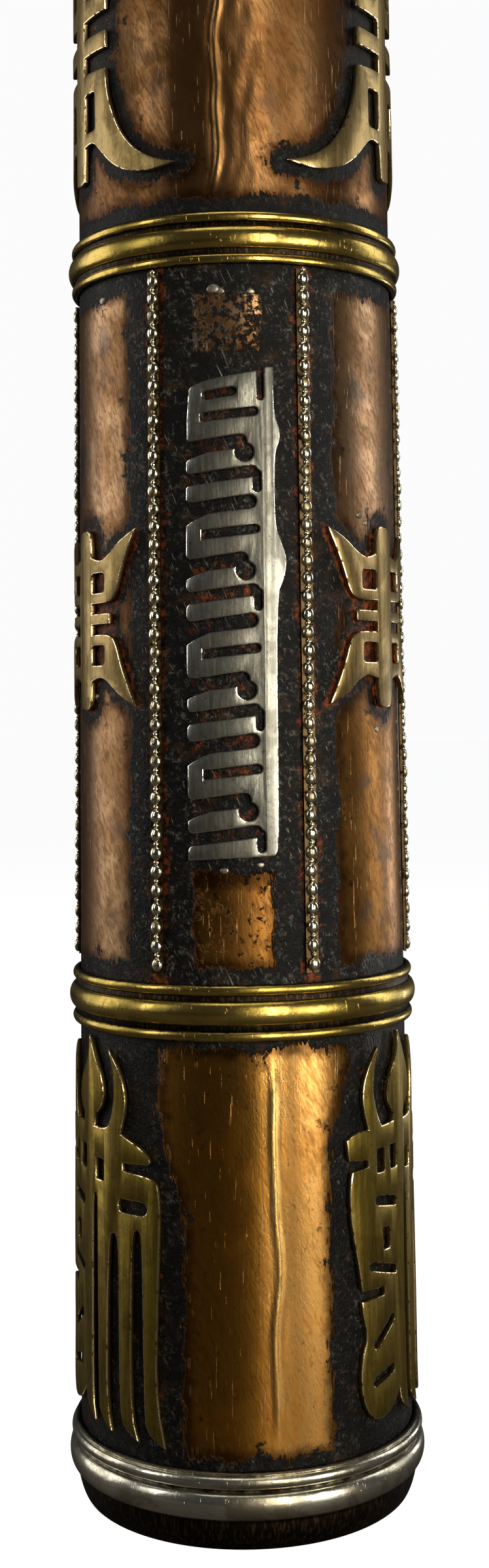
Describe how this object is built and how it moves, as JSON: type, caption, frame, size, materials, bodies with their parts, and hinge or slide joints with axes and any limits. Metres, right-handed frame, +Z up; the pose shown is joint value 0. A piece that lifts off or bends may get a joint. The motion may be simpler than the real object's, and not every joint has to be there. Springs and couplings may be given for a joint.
{
  "type": "table-top prayer wheel",
  "caption": "Cylindrical copper prayer drum with brass and white-metal ornaments, turning on a spindle in a weighted foot under a lift-off domed lid.",
  "frame": {"origin": "centre of the foot's underside, on the drum's turning axis", "axes": "+Z up along the drum's axis; -Y is the front, the middle of the first fret plate; +X is to the right seen from the front"},
  "size_m": [0.0578, 0.0578, 0.35],
  "materials": {
    "foot_ring": "brushed white metal",
    "base_plate": "brushed white metal",
    "foot_weight": "cast weight, left rough",
    "spindle": "turned",
    "spindle_nut": "turned",
    "lower_tube": null,
    "middle_tube": null,
    "lower_band": "aged, brushed",
    "joint_sleeve": "aged, brushed",
    "sleeve_pin_1": "aged, brushed",
    "sleeve_pin_2": "aged, brushed",
    "lid_collar": "aged, brushed",
    "drum_floor": null,
    "lower_bush": "aged, brushed",
    "pivot_bridge": "aged, brushed",
    "bearing_cup": "turned",
    "scroll_core": "plain turned wood",
    "mantra_scroll": "aged paper roll",
    "scroll_tie_lower": "woven cotton tie",
    "scroll_tie_upper": "woven cotton tie",
    "bead_strip_1": "worn bright",
    "bead_strip_2": "worn bright",
    "bead_strip_3": "worn bright",
    "bead_strip_4": "worn bright",
    "bead_strip_5": "worn bright",
    "bead_strip_6": "worn bright",
    "fret_plate_1": "brushed white metal",
    "fret_plate_2": "brushed white metal",
    "fret_plate_3": "brushed white metal",
    "small_medallion_1": "aged, brushed",
    "small_medallion_2": "aged, brushed",
    "small_medallion_3": "aged, brushed",
    "emblem_1": "aged, brushed",
    "emblem_2": "aged, brushed",
    "emblem_3": "aged, brushed",
    "upper_tube": null,
    "upper_band": "aged, brushed",
    "top_band": "aged, brushed",
    "large_medallion_1": "aged, brushed",
    "large_medallion_2": "aged, brushed",
    "large_medallion_3": "aged, brushed",
    "dome": null,
    "finial_collar": "brushed white metal",
    "finial": "aged, brushed",
    "finial_stem": "turned",
    "finial_nut": "turned"
  },
  "bodies": {
    "stand": {"foot_ring": "foot_ring", "base_plate": "base_plate", "foot_weight": "foot_weight", "spindle": "spindle", "spindle_nut": "spindle_nut"},
    "drum": {"lower_tube": "lower_tube", "middle_tube": "middle_tube", "lower_band": "lower_band", "joint_sleeve": "joint_sleeve", "sleeve_pin_1": "sleeve_pin_1", "sleeve_pin_2": "sleeve_pin_2", "lid_collar": "lid_collar", "drum_floor": "drum_floor", "lower_bush": "lower_bush", "pivot_bridge": "pivot_bridge", "bearing_cup": "bearing_cup", "scroll_core": "scroll_core", "mantra_scroll": "mantra_scroll", "scroll_tie_lower": "scroll_tie_lower", "scroll_tie_upper": "scroll_tie_upper", "bead_strip_1": "bead_strip_1", "bead_strip_2": "bead_strip_2", "bead_strip_3": "bead_strip_3", "bead_strip_4": "bead_strip_4", "bead_strip_5": "bead_strip_5", "bead_strip_6": "bead_strip_6", "fret_plate_1": "fret_plate_1", "fret_plate_2": "fret_plate_2", "fret_plate_3": "fret_plate_3", "small_medallion_1": "small_medallion_1", "small_medallion_2": "small_medallion_2", "small_medallion_3": "small_medallion_3", "emblem_1": "emblem_1", "emblem_2": "emblem_2", "emblem_3": "emblem_3"},
    "lid": {"upper_tube": "upper_tube", "upper_band": "upper_band", "top_band": "top_band", "large_medallion_1": "large_medallion_1", "large_medallion_2": "large_medallion_2", "large_medallion_3": "large_medallion_3", "dome": "dome", "finial_collar": "finial_collar", "finial": "finial", "finial_stem": "finial_stem", "finial_nut": "finial_nut"}
  },
  "joints": [
    {"name": "drum_spin", "type": "hinge", "parent": "stand", "child": "drum", "pos_m": [0, 0, 0.1896], "axis": [0, 0, 1], "continuous": true},
    {"name": "lid_lift", "type": "slide", "parent": "drum", "child": "lid", "axis": [0, 0, 1], "range_m": [0, 0.04]}
  ]
}
